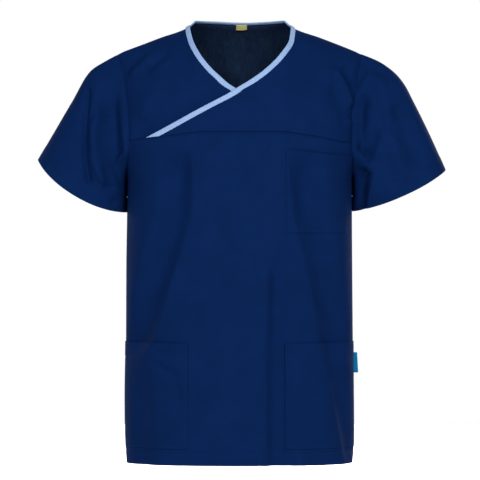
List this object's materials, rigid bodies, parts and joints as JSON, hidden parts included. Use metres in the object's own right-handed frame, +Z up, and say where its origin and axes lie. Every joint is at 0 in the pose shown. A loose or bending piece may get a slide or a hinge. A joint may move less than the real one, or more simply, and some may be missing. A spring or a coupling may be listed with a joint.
{
  "type": "medical scrub top",
  "caption": "Short-sleeved scrub top with a crossed, bound neckline, a chest seam, and chest and hip pockets, filled out hollow as if worn.",
  "frame": {"origin": "midway between the points where the shoulder seams meet the outer edge of the neck binding, where the shoulders carry it", "axes": "+Z up, the front faces -Y, and the wearer's left is +X"},
  "size_m": [0.6848, 0.2554, 0.7432],
  "materials": {
    "cloth": "plain-woven polycotton, matt with a faint sheen, navy",
    "binding": "folded woven binding tape, light blue",
    "neck_label": "blank woven label, pale yellow",
    "side_label": "blank folded woven tab, blue"
  },
  "bodies": {
    "root": {"front_lower": "cloth", "yoke_right": "cloth", "yoke_left": "cloth", "back": "cloth", "sleeve_right": "cloth", "sleeve_left": "cloth", "neck_binding_right": "binding", "neck_binding_left": "binding", "neck_binding_back": "binding", "hip_pocket_right": "cloth", "hip_pocket_left": "cloth", "chest_pocket": "cloth", "neck_label": "neck_label", "side_label": "side_label"}
  },
  "joints": []
}
